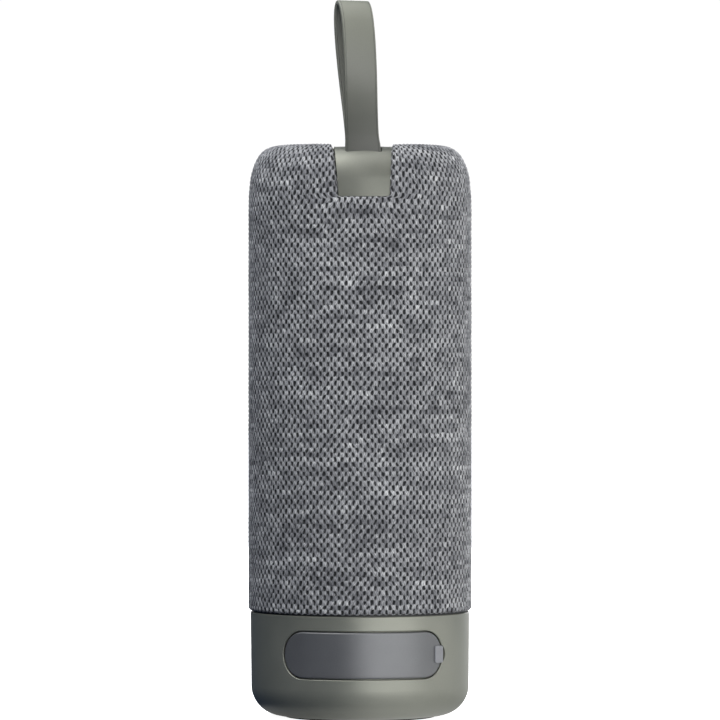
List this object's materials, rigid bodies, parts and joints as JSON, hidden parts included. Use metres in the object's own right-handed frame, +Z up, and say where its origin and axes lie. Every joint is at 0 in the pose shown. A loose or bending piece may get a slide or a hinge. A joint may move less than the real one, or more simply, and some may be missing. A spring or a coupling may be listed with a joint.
{
  "type": "portable bluetooth speaker",
  "caption": "Upright cylindrical portable bluetooth speaker with a knitted sleeve, rubber port cover, top keys and a carrying strap",
  "frame": {"origin": "centre of the rubber foot's lower face, on the cylinder's axis", "axes": "+Z up along the cylinder, -Y the side with the port cover and strap, +X to the right of that side"},
  "size_m": [0.073, 0.073, 0.2323],
  "materials": {
    "shell_satin": "satin soft-touch, khaki grey",
    "foot_rubber": "matte",
    "cover_rubber": "satin, neutral grey",
    "strap_soft": "soft matte band, khaki grey",
    "knit": "heather grey knit",
    "inner_plastic": "matte black",
    "black_plastic": "matte black",
    "white_plastic": "matte",
    "clear_plastic": "milky",
    "board": "green solder mask",
    "steel": "satin",
    "can_aluminium": "satin",
    "cell_wrap": "shrink wrap",
    "wire_skin": "matte",
    "ribbon": "satin",
    "ferrite": "dark ferrite",
    "copper": "enamelled copper",
    "cone_paper": "pressed paper",
    "seal_rubber": "matte",
    "spider_cloth": "impregnated cloth"
  },
  "bodies": {
    "housing": {"base_housing": "shell_satin", "foot_ring": "foot_rubber", "base_screws": "steel", "port_cover_root": "cover_rubber", "main_board": "board", "usb_c_port": "steel", "aux_jack": "black_plastic", "card_slot": "steel", "amplifier_chip": "black_plastic", "bluetooth_module": "steel", "board_capacitors": "can_aluminium", "wire_connectors": "white_plastic", "fabric_sleeve": "knit", "grille_shell": "inner_plastic", "front_chassis": "inner_plastic", "rear_chassis": "inner_plastic", "chassis_seal": "seal_rubber", "chassis_screws": "steel", "battery_cells": "cell_wrap", "battery_holder": "inner_plastic", "driver_leads": "wire_skin", "battery_lead": "wire_skin", "control_ribbon": "ribbon", "driver_screws": "steel", "passive_radiator_frame": "inner_plastic", "passive_radiator_surround": "seal_rubber", "top_cap": "shell_satin", "keypad_membrane": "seal_rubber", "control_board": "board", "tact_switches": "black_plastic", "light_pipes": "clear_plastic", "cap_screws": "steel", "strap_tails": "strap_soft", "strap_clamp": "steel", "clamp_screws": "steel", "driver_frame_lower": "inner_plastic", "driver_top_plate_lower": "steel", "driver_magnet_lower": "ferrite", "driver_yoke_lower": "steel", "driver_surround_lower": "seal_rubber", "driver_spider_lower": "spider_cloth", "driver_frame_upper": "inner_plastic", "driver_top_plate_upper": "steel", "driver_magnet_upper": "ferrite", "driver_yoke_upper": "steel", "driver_surround_upper": "seal_rubber", "driver_spider_upper": "spider_cloth"},
    "cover": {"port_cover": "cover_rubber"},
    "strap": {"strap_loop": "strap_soft"},
    "play_key": {"play_button": "shell_satin"},
    "volume_up_key": {"volume_up_button": "shell_satin"},
    "volume_down_key": {"volume_down_button": "shell_satin"},
    "power_key": {"power_button": "shell_satin"},
    "pairing_key": {"pairing_button": "shell_satin"},
    "cone_lower": {"driver_cone_lower": "cone_paper", "voice_coil_lower": "copper"},
    "cone_upper": {"driver_cone_upper": "cone_paper", "voice_coil_upper": "copper"},
    "passive": {"passive_radiator_plate": "black_plastic"}
  },
  "joints": [
    {"name": "port_cover_bend", "type": "hinge", "parent": "housing", "child": "cover", "pos_m": [-0.02345, -0.02745, 0.02185], "axis": [0, 0, -1], "range_deg": [0, 110], "stiffness_Nm_per_rad": 0.004},
    {"name": "strap_swing", "type": "hinge", "parent": "housing", "child": "strap", "pos_m": [0, -0.0294, 0.186], "axis": [1, 0, 0], "range_deg": [-50, 90], "stiffness_Nm_per_rad": 0.02},
    {"name": "play_press", "type": "slide", "parent": "housing", "child": "play_key", "axis": [0, 0, -1], "range_m": [0, 0.0005], "stiffness_N_per_m": 1200},
    {"name": "volume_up_press", "type": "slide", "parent": "housing", "child": "volume_up_key", "axis": [0, 0, -1], "range_m": [0, 0.0005], "stiffness_N_per_m": 1200},
    {"name": "volume_down_press", "type": "slide", "parent": "housing", "child": "volume_down_key", "axis": [0, 0, -1], "range_m": [0, 0.0005], "stiffness_N_per_m": 1200},
    {"name": "power_press", "type": "slide", "parent": "housing", "child": "power_key", "axis": [0, 0, -1], "range_m": [0, 0.0005], "stiffness_N_per_m": 1200},
    {"name": "pairing_press", "type": "slide", "parent": "housing", "child": "pairing_key", "axis": [0, 0, -1], "range_m": [0, 0.0005], "stiffness_N_per_m": 1200},
    {"name": "driver_lower_travel", "type": "slide", "parent": "housing", "child": "cone_lower", "axis": [0, -1, 0], "range_m": [-0.0012, 0.0012], "stiffness_N_per_m": 600, "deforming": ["driver_surround_lower", "driver_spider_lower"]},
    {"name": "driver_upper_travel", "type": "slide", "parent": "housing", "child": "cone_upper", "axis": [0, -1, 0], "range_m": [-0.0012, 0.0012], "stiffness_N_per_m": 600, "deforming": ["driver_surround_upper", "driver_spider_upper"]},
    {"name": "passive_travel", "type": "slide", "parent": "housing", "child": "passive", "axis": [0, 1, 0], "range_m": [-0.0015, 0.0015], "stiffness_N_per_m": 500, "deforming": ["passive_radiator_surround"]}
  ]
}
